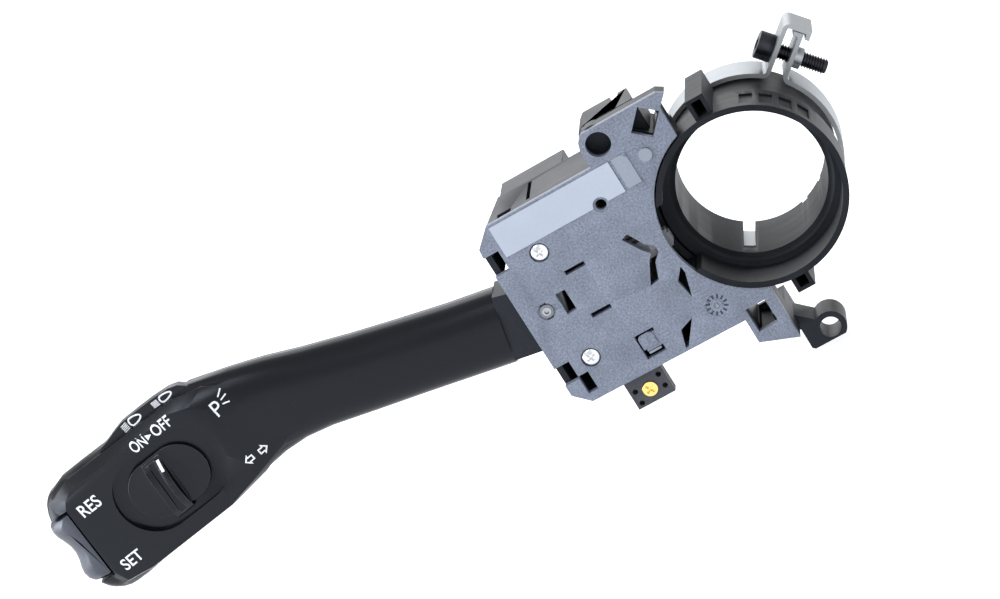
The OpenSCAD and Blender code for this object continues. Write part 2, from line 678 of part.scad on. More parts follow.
// Sections of the stalk: distance along it, height, shift to the driver, turn, half width,
// half thickness and how square the section is.
function ease(t) = let (c = min(1, max(0, t))) c * c * (3 - 2 * c);
function stalk_shift(u) = -paddle_shift * ease((u - 14) / (paddle_dist - 30));
function paddle_point(a, b) = [paddle_dist + a * cos(paddle_bend) + b * sin(paddle_bend),
                               -11.5 - a * sin(paddle_bend) + b * cos(paddle_bend)];
function neck_section(u, v, turn, half, thick, square) =
    [u, v, stalk_shift(u), turn, half, thick, square];
function paddle_section(a, b, half, turn) = let (p = paddle_point(a, b))
    [p[0], p[1], -paddle_shift, turn - paddle_bend, half, paddle_body, 2.9];
paddle_body = paddle_thick - 0.4;
tip_round = 6.5;
tip_turn = 5;
function tip_half(a) = let (t = max(0, a - paddle_end + tip_round) / tip_round)
    paddle_half - tip_round + tip_round * sqrt(max(0, 1 - t * t)) + 0.2;
sections = concat(
    [neck_section(neck_len, neck_v, 0, neck_half, neck_thick, 2.8),
     neck_section(24, -3.2, 0, neck_half, neck_thick, 2.7),
     neck_section(36, -2.95, 0, neck_half + 0.2, neck_thick - 0.1, 2.6),
     neck_section(48, -2.5, 0, neck_half + 0.5, neck_thick - 0.2, 2.6),
     neck_section(60, -1.8, -3, neck_half + 0.9, neck_thick - 0.4, 2.7),
     neck_section(68, -1.55, -9, neck_half + 1.8, neck_thick - 0.6, 2.8),
     neck_section(75.5, -2.2, -15, neck_half + 3.1, neck_thick - 0.8, 2.8)],
    [for (s = [[-19, 1, -1.1], [-12, 0.6, -0.6], [-3, 0.5, 0], [6, 0.6, 0.3], [15, 0.6, 0.5], [22, 0.4, 0.7]])
        paddle_section(s[0], s[1], paddle_half + s[2], 0)],
    [for (k = [0 : 6]) let (a = paddle_end - tip_round * (1 - sin(15 * k)))
        paddle_section(a, 0, tip_half(a), tip_turn * k / 6)]);

// Lofts the sections, drawn in by a wall, from angle a0 to a1; 0 to 180 is the driver's half.
module stalk_loft(wall, front, a0, a1) {
    n = 32 * (a1 - a0) / 360;
    full = a1 - a0 == 360;
    m = full ? n : n + 1;
    pts = [for (i = [0 : len(sections) - 1], k = [0 : m - 1]) let (
        s = sections[i], u = s[0] - (i == 0 ? min(wall, 0.5) : 0),
        a = a0 + (a1 - a0) * k / n,
        c = cos(a), q = sin(a), e = 2 / s[6],
        half = s[4] - wall, thick = s[5] - wall - front / 2,
        b = half * sign(c) * pow(abs(c), e),
        w = -thick * sign(q) * pow(abs(q), e) + front / 2)
        [-u - b * sin(-s[3]), s[2] + w, s[1] + b * cos(s[3])]];
    last = len(sections) - 1;
    polyhedron(pts, concat(
        [for (i = [0 : last - 1], k = [0 : full ? m - 1 : m - 2])
            [i * m + (k + 1) % m, (i + 1) * m + (k + 1) % m, (i + 1) * m + k, i * m + k]],
        full ? [] : [for (i = [0 : last - 1]) [(i + 1) * m, (i + 1) * m + m - 1, i * m + m - 1, i * m]],
        [[for (k = [0 : m - 1]) m - 1 - k], [for (k = [0 : m - 1]) last * m + k]]));
}

// Cut-outs that both shells share: the rocker's bay at the end of the paddle, with a slanted edge.
module rocker_cut() {
    h = rocker_w / 2 + 0.5;
    on_paddle() slab(-10, paddle_thick - 1.7)
        polygon([[-paddle_end - 5, 0.2 - h], [-27.2, 0.2 - h], [-25.1, 0.2 + h], [-paddle_end - 5, 0.2 + h]]);
}

// The raised panel on the driver's side of the paddle, with a broad bevel along its upper edge.
module face_panel() {
    h = paddle_half;
    e = paddle_end;
    foot = [[30, h - 7.4], [22, h - 2.4], [14, h - 0.2], [-20, h + 0.3], [5.4 - e, h - 1.4], [2.6 - e, h - 4], [0.8 - e, h - 9],
            [0.6 - e, 0], [1.2 - e, 7 - h], [4 - e, 1.9 - h], [-18, 0.7 - h], [8, 0.8 - h], [20, 2.4 - h], [32, 6 - h]];
    top = [[20, h - 7.6], [17, h - 4], [12, h - 2.2], [-18, h - 2.1], [11 - e, h - 2.1], [8.6 - e, h - 3.2], [6.8 - e, h - 5.3],
           [5.4 - e, h - 8], [4.4 - e, 0], [4 - e, 9 - h], [6.4 - e, 2.6 - h], [-18, 1.4 - h], [8, 1.5 - h], [16, 3 - h], [19, 6 - h]];
    on_paddle() hull() {
        slab(-paddle_thick, -paddle_thick + 0.1) polygon(top);
        slab(-3.7, -2) polygon(foot);
    }
}

board_y = 2.8;
module lever_back_shell() {
    color("#222326") difference() {
        union() {
            on_stalk() stalk_loft(0, 0, 180, 360);
            lamp_wing(0, 1.2, 0.4);
        }
        on_stalk() stalk_loft(shell_wall, 1, 0, 360);
        rocker_cut();
        on_paddle() block([-18.6, board_y - 0.3, -11.2], [16.2, board_y + 1.2, 11.6]);
        on_paddle() block([-23.4, board_y - 1, -switch_b - 2], [-18, board_y + 1.2, switch_b + 2.4]);
        on_stalk() block([-neck_len - 9.2, -4.4, neck_v - 7.2], [-neck_len + 1, 4.4, neck_v + 7.2]);
    }
}

// The part between two levels of the side wing that carries the lamp signs, lowered by a step.
module lamp_wing(y0, y1, step) {
    on_paddle() difference() {
        slab(y0, y1) translate([-1.5 * step, -step])
            polygon([[20, 12], [19, 15.6], [17.4, 17.1], [15, 17.9], [10, 18.3], [6, 18.4], [0, 18.4],
                     [-3, 17.8], [-6, 17], [-9, 16.5], [-14, 12]]);
        block([-20, -10, -20], [30, 10, 13.2]);
    }
}

recess_at = [0.6, 0.3];
recess_depth = 1.5;
recess_floor = -paddle_thick + recess_depth;
// Turn of the thumb slide's two ridges, in degrees
grip_turn = 7.5;
module lever_front_shell() {
    color("#222326") difference() {
        union() {
            on_stalk() stalk_loft(0, 0, 0, 180);
            face_panel();
            lamp_wing(-2.6, 0, 0);
        }
        on_stalk() stalk_loft(shell_wall, 1, 0, 360);
        rocker_cut();
        on_paddle() {
            slab(-paddle_thick - 1, recess_floor) translate(recess_at) stadium(10.3, 11);
            slab(-paddle_thick - 1, 0) translate([0, 0.2]) square([2 * slide_travel + 3.6, 3.4], center = true);
        }
        on_stalk() block([-neck_len - 9.2, -4.4, neck_v - 7.2], [-neck_len + 1, 4.4, neck_v + 7.2]);
    }
}

// The board in the paddle, the slide switch and the two push switches on it.
module lever_board() {
    color("#3f5a3a") on_paddle() block([-18.5, board_y, -11], [16, board_y + 1.2, 11.4]);
}

module slide_switch() {
    color("#1c1d1f") on_paddle() difference() {
        block([-10, -2.6, -5.8], [10, board_y, 6.2]);
        block([-slide_travel - 1.8, -4, -1.3], [slide_travel + 1.8, 0.4, 1.7]);
    }
}

module cruise_slider() {
    color("#222326") on_paddle() {
        slab(recess_floor - 1.1, recess_floor - 0.08) translate([0, 0.2]) stadium(7.6, 6.8);
        intersection() {
            union() {
                slab(recess_floor - 1.5, recess_floor - 1) rotate(-grip_turn) translate([-3.6, -10]) square([5.3, 19]);
                slab(-paddle_thick - 0.9, recess_floor - 1) rotate(-grip_turn) translate([-3.6, -10]) square([1.6, 19]);
                slab(-paddle_thick - 2.1, recess_floor - 1) rotate(-grip_turn) translate([0, -10]) square([1.7, 19]);
            }
            translate([0, 5.6, -0.6]) rotate([0, 90, 0]) cylinder(r = 13.7, h = 14, center = true, $fn = 96);
        }
        slab(recess_floor - 0.5, 0.3) translate([0, 0.2]) square([3, 2.8], center = true);
    }
}

switch_b = 6.6;
module rocker_switches() {
    color("#1c1d1f") on_paddle() for (s = [-1, 1]) translate([0, 0, 0.2 + switch_b * s]) {
        block([-23.2, -2, -2], [-18.8, board_y + 1.2, 2]);
        translate([-25.5, 0, 0]) rotate([0, 90, 0]) cylinder(r = 1, h = 3);
    }
}

// The wavy SET and RES rocker on its tongue: its outer face is rounded from front to back.
rocker_pivot = 22.6;
rocker_wave = [[-31, 1], [-32.3, 0.97], [-33.4, 0.88], [-33.9, 0.72], [-33.8, 0.56], [-33.3, 0.36], [-33, 0.16],
               [-33.1, -0.04], [-33.8, -0.26], [-34.8, -0.46], [-35.3, -0.62], [-35.2, -0.8], [-34.4, -0.94], [-33, -1]];
rocker_levels = [[-5.3, 4.6], [-4.8, 3.6], [-3.6, 1.6], [-2, 0.5], [-0.4, 0], [1.4, 0.2], [2.8, 1], [3.7, 2.2]];
module rocker_body() {
    h = rocker_w / 2;
    m = len(rocker_wave) + 2;
    n = len(rocker_levels);
    rings = [for (v = rocker_levels) let (b = h * (1 - 0.012 * v[1])) each concat(
        [[-25.9, v[0], b]],
        [for (q = rocker_wave) [q[0] + v[1], v[0], q[1] * b]],
        [[-27.9, v[0], -b]])];
    polyhedron(rings, concat(
        [for (i = [0 : n - 2], k = [0 : m - 1]) [i * m + (k + 1) % m, (i + 1) * m + (k + 1) % m, (i + 1) * m + k, i * m + k]],
        [[for (k = [0 : m - 1]) m - 1 - k], [for (k = [0 : m - 1]) (n - 1) * m + k]]));
}
module set_res_rocker() {
    color("#222326") on_paddle() translate([0, 0, 0.2]) difference() {
        union() {
            rocker_body();
            slab(-2.4, 2.4) {
                translate([-28.6, -3.6]) square([6, 7.2]);
                translate([-rocker_pivot, 0]) circle(3.6);
            }
        }
        bar(-rocker_pivot, 0, 0.8 + run_gap, -8, 8);
    }
}

module rocker_pin() {
    color("#c0c3c6") on_paddle() bar(-rocker_pivot, 0.2, 0.8, -paddle_body + shell_wall + 1.05, paddle_body - shell_wall - 0.06);
}

housing_base();
cover_plate();
cover_screws();
column_collar();
collar_screws();
clamp_band();
clamp_screw();
clamp_nut();
connector_main();
connector_pins();
connector_small();
small_pins();
terminal_block();
terminal_screw();
guide_frame();
pawl_pin();
pawl_spring();
cancel_pawl();
contact_board();
contact_tracks();
contact_slider();
slider_wipers();
pivot_carrier();
dip_pin();
lever_root();
detent_spring();
detent_plunger();
lever_back_shell();
lever_front_shell();
lever_board();
slide_switch();
cruise_slider();
rocker_switches();
set_res_rocker();
rocker_pin();
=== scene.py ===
import json
from math import cos, pi, radians, sin

import bpy
from mathutils import Matrix, Vector

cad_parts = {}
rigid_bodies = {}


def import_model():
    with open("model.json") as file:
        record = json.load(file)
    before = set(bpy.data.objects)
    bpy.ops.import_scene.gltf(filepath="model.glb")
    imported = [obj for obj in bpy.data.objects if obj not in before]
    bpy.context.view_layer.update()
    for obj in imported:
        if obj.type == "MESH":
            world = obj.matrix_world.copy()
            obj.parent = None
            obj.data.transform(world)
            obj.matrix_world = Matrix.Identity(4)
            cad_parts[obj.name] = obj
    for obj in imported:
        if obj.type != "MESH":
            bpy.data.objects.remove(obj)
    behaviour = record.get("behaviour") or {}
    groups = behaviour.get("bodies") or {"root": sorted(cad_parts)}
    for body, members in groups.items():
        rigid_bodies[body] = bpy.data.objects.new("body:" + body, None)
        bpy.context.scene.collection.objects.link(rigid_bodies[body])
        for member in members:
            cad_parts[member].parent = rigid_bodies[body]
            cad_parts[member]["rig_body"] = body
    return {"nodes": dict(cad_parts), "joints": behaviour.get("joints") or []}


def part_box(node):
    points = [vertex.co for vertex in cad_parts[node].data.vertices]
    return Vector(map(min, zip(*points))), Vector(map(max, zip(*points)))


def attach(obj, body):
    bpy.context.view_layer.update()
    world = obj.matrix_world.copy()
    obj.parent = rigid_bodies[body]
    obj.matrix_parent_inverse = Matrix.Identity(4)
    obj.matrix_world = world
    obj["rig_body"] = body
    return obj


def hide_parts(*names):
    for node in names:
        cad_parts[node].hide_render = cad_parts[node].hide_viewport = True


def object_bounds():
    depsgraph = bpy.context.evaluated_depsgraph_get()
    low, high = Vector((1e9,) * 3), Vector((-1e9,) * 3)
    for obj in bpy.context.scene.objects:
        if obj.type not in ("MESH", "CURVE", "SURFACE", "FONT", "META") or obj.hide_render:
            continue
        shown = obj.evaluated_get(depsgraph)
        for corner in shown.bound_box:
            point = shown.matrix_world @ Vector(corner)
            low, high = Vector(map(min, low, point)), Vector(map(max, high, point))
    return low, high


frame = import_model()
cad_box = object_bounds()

# The view: the switch lies as it is held up to the column, with its stalk to the left.
# A long lens looks at the cover plate from a little to the right and from above.
camera = bpy.data.objects.new("camera", bpy.data.cameras.new("camera"))
bpy.context.scene.collection.objects.link(camera)
camera.location = (0.11728, -0.78618, 0.23044)
camera.rotation_euler = (radians(71.364), radians(31.342), radians(3.497))
camera.data.lens = 122.4
camera.data.sensor_width = 36
camera.data.clip_start = 0.02
camera.data.clip_end = 20
bpy.context.scene.camera = camera
bpy.context.scene.view_settings.view_transform = "Standard"


# The studio: matt white paper under the switch, a white surround and six soft lamps.
# Paper and surround read as pure white when seen directly, and only the shadow darkens them.
def linear(hex_colour):
    """The linear colour of an sRGB hex value."""
    parts = [int(hex_colour[i:i + 2], 16) / 255 for i in (1, 3, 5)]
    return [c / 12.92 if c <= 0.04045 else ((c + 0.055) / 1.055) ** 2.4 for c in parts] + [1]


def add(tree, kind, inputs=None, **settings):
    """Adds a node, and sets or links its inputs."""
    made = tree.nodes.new("ShaderNode" + kind)
    for name, value in settings.items():
        setattr(made, name, value)
    for name, value in (inputs or {}).items():
        if isinstance(value, bpy.types.NodeSocket):
            tree.links.new(value, made.inputs[name])
        else:
            made.inputs[name].default_value = value
    return made


def seen_directly(tree):
    """One for a ray that shows the white itself, and nought for a ray that only lights by it."""
    rays = add(tree, "LightPath").outputs
    seen = add(tree, "Math", {0: rays["Is Camera Ray"], 1: rays["Is Glossy Ray"]}, operation="MAXIMUM")
    return add(tree, "Math", {0: seen.outputs[0], 1: rays["Is Transmission Ray"]},
               operation="MAXIMUM").outputs[0]


SURROUND_GLOW = 0.42
PAPER_GLOW = 0.72
surround = bpy.data.worlds.new("white surround")
bpy.context.scene.world = surround
surround.use_nodes = True
tree = surround.node_tree
tree.nodes.clear()
glow = add(tree, "Background", {"Color": linear("#f4f6fa"), "Strength": SURROUND_GLOW})
white = add(tree, "Background", {"Color": (1, 1, 1, 1), "Strength": 1.0})
both = add(tree, "MixShader", {"Fac": seen_directly(tree), 1: glow.outputs[0], 2: white.outputs[0]})
add(tree, "OutputWorld", {"Surface": both.outputs[0]})

FLOOR_GAP = 0.0022
PAPER_SIZE = 6
floor_z = cad_box[0][2] - FLOOR_GAP
bpy.ops.object.select_all(action="DESELECT")
bpy.ops.mesh.primitive_plane_add(size=PAPER_SIZE, location=(0, 0, floor_z))
floor = bpy.context.object
floor.name = "paper_floor"
paper = bpy.data.materials.new("matt white paper")
paper.use_nodes = True
tree = paper.node_tree
tree.nodes.clear()
sheet = add(tree, "BsdfDiffuse", {"Color": linear("#f2f3f5")})
bright = add(tree, "Emission", {"Color": (1, 1, 1, 1), "Strength": PAPER_GLOW})
lit = add(tree, "AddShader", {0: sheet.outputs[0], 1: bright.outputs[0]})
both = add(tree, "MixShader", {"Fac": seen_directly(tree), 1: sheet.outputs[0], 2: lit.outputs[0]})
add(tree, "OutputMaterial", {"Surface": both.outputs[0]})
floor.data.materials.append(paper)

MIDDLE = Vector((-0.06, 0, 0))
DAYLIGHT = (0.94, 0.97, 1.0)
for name, place, size, power in (
        ("key lamp", (-0.35, -0.75, 0.75), 0.4, 3.1),
        ("front lamp", (0.45, -0.9, 0.25), 0.6, 1.2),
        ("side lamp", (-0.95, -0.1, 0.28), 0.6, 7.0),
        ("low lamp", (-0.85, -0.4, 0.06), 0.4, 5.0),
        ("top lamp", (-0.5, -0.4, 0.95), 0.3, 2.2),
        ("back lamp", (-0.1, 0.8, 0.45), 0.7, 2.5)):
    lamp = bpy.data.objects.new(name, bpy.data.lights.new(name, "AREA"))
    lamp.data.color = DAYLIGHT
    lamp.data.size = size
    lamp.data.energy = power
    lamp.location = place
    lamp.rotation_euler = (MIDDLE - lamp.location).to_track_quat("-Z", "Y").to_euler()
    bpy.context.scene.collection.objects.link(lamp)


# The tray of the case: black nylon filled with short glass fibres, moulded in one shot.
# The fibres leave a dull, faintly speckled skin, shinier where the melt filled last. The specks
# are about a tenth of a millimetre, and are drawn three times as coarse to show at all.
PLASTIC_IOR = 1.5
NOISE_LOW = 0.3
NOISE_HIGH = 0.7
SHEEN_SWING = 0.04
GRAIN_HEIGHT = 0.0001


def moulded(name, colour, roughness, grain_mm, depth, mottle, gloss=0.5, flow_mm=16, cloud=0.04,
            drawn=(1, 1, 1)):
    """A moulded plastic: a fine grain in relief, and wide flow marks that vary its tone and sheen."""
    made = bpy.data.materials.new(name)
    made.use_nodes = True
    tree = made.node_tree
    shader = tree.nodes["Principled BSDF"]
    shader.inputs["IOR"].default_value = PLASTIC_IOR
    shader.inputs["Specular IOR Level"].default_value = gloss
    shader.inputs["Specular Tint"].default_value = linear("#e6ecfb")
    place = add(tree, "TexCoord").outputs["Object"]
    grain = add(tree, "TexNoise", {"Vector": place, "Scale": 1000 / grain_mm, "Detail": 2.0,
                                   "Roughness": 0.6}).outputs[0]
    along = add(tree, "Mapping", {"Vector": place, "Scale": drawn}).outputs[0]
    flow = add(tree, "TexNoise", {"Vector": along, "Scale": 1000 / flow_mm, "Detail": 3.0}).outputs[0]
    speck = add(tree, "MapRange", {"Value": grain, "From Min": NOISE_LOW, "From Max": NOISE_HIGH,
                                   "To Min": 1 - mottle, "To Max": 1 + mottle}).outputs[0]
    patchy = add(tree, "MapRange", {"Value": flow, "From Min": NOISE_LOW, "From Max": NOISE_HIGH,
                                    "To Min": 1 - cloud, "To Max": 1 + cloud}).outputs[0]
    shade = add(tree, "Math", {0: speck, 1: patchy}, operation="MULTIPLY").outputs[0]
    tone = add(tree, "MixRGB", {"Fac": 1.0, "Color1": linear(colour), "Color2": shade},
               blend_type="MULTIPLY")
    sheen = add(tree, "MapRange", {"Value": flow, "From Min": NOISE_LOW, "From Max": NOISE_HIGH,
                                   "To Min": roughness - SHEEN_SWING,
                                   "To Max": roughness + SHEEN_SWING}).outputs[0]
    relief = add(tree, "Bump", {"Strength": depth, "Distance": GRAIN_HEIGHT, "Height": grain})
    tree.links.new(tone.outputs[0], shader.inputs["Base Color"])
    tree.links.new(sheen, shader.inputs["Roughness"])
    tree.links.new(relief.outputs[0], shader.inputs["Normal"])
    return made


SMOOTH = 35
SHARP = radians(32)
FLAT = radians(0.5)
WELD = 2e-6


def single_out(piece):
    bpy.ops.object.select_all(action="DESELECT")
    bpy.context.view_layer.objects.active = piece
    piece.select_set(True)


def keep(piece, name, material, body, smooth=SMOOTH):
    """Names a finished piece, gives it its material, and lets it ride its body."""
    piece.name = name
    piece.data.materials.clear()
    piece.data.materials.append(material)
    single_out(piece)
    bpy.ops.object.shade_smooth_by_angle(angle=radians(smooth))
    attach(piece, body)
    return piece


def modify(piece, kind, **settings):
    """Puts one modifier on a piece and applies it."""
    single_out(piece)
    made = piece.modifiers.new(kind.lower(), kind)
    for name, value in settings.items():
        setattr(made, name, value)
    bpy.ops.object.modifier_apply(modifier=made.name)


def round_edges(piece, edge_mm, slot=0):
    modify(piece, "BEVEL", width=edge_mm / 1000, segments=2, limit_method="ANGLE",
           angle_limit=SHARP, miter_outer="MITER_ARC", material=slot)
    bpy.ops.object.shade_smooth_by_angle(angle=radians(SMOOTH))


def dress(node, edge_mm, material, edge_material=None):
    """Takes the place of a CAD node by a welded copy of it with rounded edges."""
    source = frame["nodes"][node]
    piece = bpy.data.objects.new(node + "_finish", source.data.copy())
    bpy.context.scene.collection.objects.link(piece)
    single_out(piece)
    bpy.ops.object.mode_set(mode="EDIT")
    bpy.ops.mesh.select_all(action="SELECT")
    bpy.ops.mesh.remove_doubles(threshold=WELD)
    bpy.ops.mesh.dissolve_limited(angle_limit=FLAT, delimit=set())
    bpy.ops.object.mode_set(mode="OBJECT")
    keep(piece, node + "_finish", material, source["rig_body"])
    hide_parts(node)
    if edge_material:
        piece.data.materials.append(edge_material)
    if edge_mm:
        round_edges(piece, edge_mm, 1 if edge_material else 0)
    return piece


black_nylon = moulded("glass filled nylon, black", "#1f2125", 0.42, 0.35, 0.25, 0.2, gloss=0.2)
dress("housing_base", 0.15, black_nylon)


# The contact board and its tracks: glass fibre laminate glued to the floor of the tray, with
# stamped and tin plated brass strips. The weave of the glass shows faintly through the black
# lacquer, and is drawn six times as coarse as it is.
WAVE_FACTOR = 20


def laminate(name, colour, weave_mm):
    """Woven laminate: two crossed sets of threads."""
    made = bpy.data.materials.new(name)
    made.use_nodes = True
    tree = made.node_tree
    shader = tree.nodes["Principled BSDF"]
    shader.inputs["Roughness"].default_value = 0.35
    place = add(tree, "TexCoord").outputs["Object"]
    threads = {"Vector": place, "Scale": 1000 / weave_mm / WAVE_FACTOR}
    warp = add(tree, "TexWave", threads, bands_direction="X").outputs[0]
    weft = add(tree, "TexWave", threads, bands_direction="Z").outputs[0]
    cloth = add(tree, "Math", {0: warp, 1: weft}, operation="MULTIPLY").outputs[0]
    shade = add(tree, "MapRange", {"Value": cloth, "To Min": 0.85, "To Max": 1.1}).outputs[0]
    tone = add(tree, "MixRGB", {"Fac": 1.0, "Color1": linear(colour), "Color2": shade},
               blend_type="MULTIPLY")
    tree.links.new(tone.outputs[0], shader.inputs["Base Color"])
    return made


def metal(name, colour, roughness, marks_mm, drawn, unevenness=0.05):
    """A metal with the marks of its making, which are drawn out along the way it was worked."""
    made = bpy.data.materials.new(name)
    made.use_nodes = True
    tree = made.node_tree
    shader = tree.nodes["Principled BSDF"]
    shader.inputs["Metallic"].default_value = 1.0
    place = add(tree, "TexCoord").outputs["Object"]
    along = add(tree, "Mapping", {"Vector": place, "Scale": drawn}).outputs[0]
    marks = add(tree, "TexNoise", {"Vector": along, "Scale": 1000 / marks_mm, "Detail": 3.0}).outputs[0]
    shade = add(tree, "MapRange", {"Value": marks, "From Min": NOISE_LOW, "From Max": NOISE_HIGH,
                                   "To Min": 1 - 2 * unevenness, "To Max": 1.0}).outputs[0]
    tone = add(tree, "MixRGB", {"Fac": 1.0, "Color1": linear(colour), "Color2": shade},
               blend_type="MULTIPLY")
    sheen = add(tree, "MapRange", {"Value": marks, "From Min": NOISE_LOW, "From Max": NOISE_HIGH,
                                   "To Min": roughness - unevenness,
                                   "To Max": roughness + unevenness}).outputs[0]
    tree.links.new(tone.outputs[0], shader.inputs["Base Color"])
    tree.links.new(sheen, shader.inputs["Roughness"])
    return made


EVEN = (1, 1, 1)
board = laminate("glass fibre laminate, black", "#2a2f2b", 0.6)
brass = metal("brass, stamped", "#c9a95c", 0.28, 0.4, EVEN)
tinned = metal("brass, tin plated", "#8d8e8c", 0.34, 0.4, EVEN)
dress("contact_board", 0, board)
dress("contact_tracks", 0.02, tinned)

# The contact slide and its wipers: natural acetal, which is milky white and slippery, with
# three springs of tin plated brass riveted under it.
natural = moulded("natural acetal", "#cfccc0", 0.38, 0.3, 0.08, 0.02)
dress("contact_slider", 0.08, natural)
dress("slider_wipers", 0.03, tinned)

# The guide frame, set on the floor over the inner end of the stalk: the same nylon as the tray,
# with the three detent grooves moulded in.
dress("guide_frame", 0.12, black_nylon)

# The plunger that clicks in the grooves and its spring: acetal, and hard drawn music wire
# wound bright.
wire = metal("music wire, bright", "#c9c3b4", 0.25, 0.3, EVEN)
dress("detent_plunger", 0.1, natural)
dress("detent_spring", 0, wire)

# The carrier that the stalk turns in, and its cross pin: grey acetal, and ground steel.
# The end of its hollow trunnion shows in the cover, lined with a bright steel ring that is
# turned from bar and bored. The steel shows its grinding as fine lines along the pin.
grey_acetal = moulded("grey acetal", "#77797c", 0.36, 0.4, 0.15, 0.06)
ground_steel = metal("ground steel", "#9c9ea2", 0.22, 0.25, (1, 0.05, 1))
dress("pivot_carrier", 0.12, grey_acetal)
dress("dip_pin", 0.06, ground_steel)

RING_OUTER = 0.00112
RING_BORE = 0.0006
RING_LONG = 0.0012
RING_PROUD = 0.00008
BORE_DEPTH = 0.0008
RING_EDGE = 0.00006


def open_front(piece, rim, depth):
    """Insets the faces that look to the driver by this rim, and pushes what is left along Y."""
    single_out(piece)
    bpy.ops.object.mode_set(mode="EDIT")
    bpy.ops.mesh.select_all(action="DESELECT")
    bpy.ops.object.mode_set(mode="OBJECT")
    for face in piece.data.polygons:
        face.select = face.normal.y < -0.9
    bpy.ops.object.mode_set(mode="EDIT")
    bpy.ops.mesh.inset(thickness=rim)
    bpy.ops.mesh.extrude_region_move(TRANSFORM_OT_translate={"value": (0, depth, 0)})
    bpy.ops.object.mode_set(mode="OBJECT")


pivot = Vector(next(j for j in frame["joints"] if j["name"] == "turn")["pos_m"])
cover_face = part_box("pivot_carrier")[0][1]
bpy.ops.object.select_all(action="DESELECT")
bpy.ops.mesh.primitive_cylinder_add(
    vertices=48, radius=RING_OUTER, depth=RING_LONG, rotation=(pi / 2, 0, 0),
    location=(pivot.x, cover_face + RING_LONG / 2 - RING_PROUD, pivot.z))
ring = bpy.context.object
bpy.ops.object.transform_apply(location=True, rotation=True)
open_front(ring, RING_OUTER - RING_BORE, BORE_DEPTH)
modify(ring, "BEVEL", width=RING_EDGE, segments=2, limit_method="ANGLE", angle_limit=radians(40))
keep(ring, "trunnion_ring", ground_steel, "carrier")

# The root that carries the stalk: the same black nylon in one moulding, plugged into the shells
# at one end and pinned in the carrier at the other.
dress("lever_root", 0.3, black_nylon)

# The self-cancelling finger with its pin and hairpin spring: light grey acetal on a steel pin.
# Its tip pokes through the gap of the collar's cup.
pale_grey = moulded("light grey acetal", "#8f9193", 0.36, 0.4, 0.12, 0.04)
dress("cancel_pawl", 0.15, pale_grey)
dress("pawl_pin", 0.06, ground_steel)
dress("pawl_spring", 0.06, wire)

# The cover plate: grey acetal with a coarse spark grain, snapped and screwed on the tray. Its grey
# is partly painted sheen: paler than the plastic is, for a broad soft light mirrored in the plate.
# The grain catches the light as a speckle of paler and darker grey. It is about 0.2 mm wide, and
# is drawn at 0.5 mm to show. The edges are rounded further on, after the last cut in the plate.
cover_grey_painted_sheen = moulded("spark grained acetal, grey with painted sheen", "#7a808e", 0.42, 0.5, 0.4, 0.32, gloss=0.35,
                     flow_mm=5, cloud=0.1)
cover = dress("cover_plate", 0, cover_grey_painted_sheen)
CUTTER_PROUD = 0.001
CLEAR = 0.00001
THIN_SMOOTH = 20


def lay(points, line=0.0):
    """A flat patch with this outline in millimetres, or only a line along the inside of it."""
    bpy.ops.object.select_all(action="DESELECT")
    bpy.ops.mesh.primitive_circle_add(vertices=len(points), radius=0.001, fill_type="NGON")
    patch = bpy.context.object
    for vertex, point in zip(patch.data.vertices, points):
        vertex.co = (point[0] / 1000, point[1] / 1000, 0)
    if line:
        bpy.ops.object.mode_set(mode="EDIT")
        bpy.ops.mesh.select_all(action="SELECT")
        bpy.ops.mesh.inset(thickness=line / 1000)
        bpy.ops.mesh.delete(type="FACE")
        bpy.ops.object.mode_set(mode="OBJECT")
    return patch


def gather(patches, place):
    """Joins flat patches into one mesh and brings them to this place."""
    bpy.ops.object.select_all(action="DESELECT")
    for patch in patches:
        patch.select_set(True)
    piece = patches[0]
    bpy.context.view_layer.objects.active = piece
    if len(patches) > 1:
        bpy.ops.object.join()
    piece.data.transform(place @ piece.matrix_world)
    piece.matrix_world = Matrix.Identity(4)
    return piece


def turn_to_front(piece):
    """Makes the faces of a thin piece look to the driver."""
    if sum(face.normal.y * face.area for face in piece.data.polygons) > 0:
        piece.data.flip_normals()


def carve(piece, patches, face, depth_mm):
    """Sinks these patches straight back from a flat face of a piece."""
    cutter = gather(patches, on_face(face - CUTTER_PROUD))
    turn_to_front(cutter)
    modify(cutter, "SOLIDIFY", thickness=CUTTER_PROUD + depth_mm / 1000, offset=-1)
    modify(piece, "BOOLEAN", object=cutter, operation="DIFFERENCE", solver="MANIFOLD")
    bpy.data.objects.remove(cutter)


def press_on(patches, name, place, thickness_mm, material, body, onto=None):
    """Makes one thin piece of flat patches, and lays it on the surface of another piece."""
    piece = gather(patches, place)
    if onto:
        bpy.ops.object.mode_set(mode="EDIT")
        bpy.ops.mesh.select_all(action="SELECT")
        bpy.ops.mesh.quads_convert_to_tris()
        bpy.ops.mesh.subdivide(number_cuts=3)
        bpy.ops.object.mode_set(mode="OBJECT")
        modify(piece, "SHRINKWRAP", target=onto, wrap_method="PROJECT", use_project_y=True,
               use_negative_direction=False, use_positive_direction=True, offset=CLEAR)
    turn_to_front(piece)
    modify(piece, "SOLIDIFY", thickness=thickness_mm / 1000, offset=1)
    return keep(piece, name, material, body, smooth=THIN_SMOOTH)


def on_face(y):
    """Stands a flat patch upright at this Y, looking to the driver."""
    return Matrix.Translation((0, y, 0)) @ Matrix.Rotation(pi / 2, 4, "X")


def circle(x, z, radius, points):
    step = 2 * pi / points
    return [(x + radius * cos(i * step), z + radius * sin(i * step)) for i in range(points)]


def rectangle(x0, z0, x1, z1):
    return [(x0, z0), (x1, z0), (x1, z1), (x0, z1)]


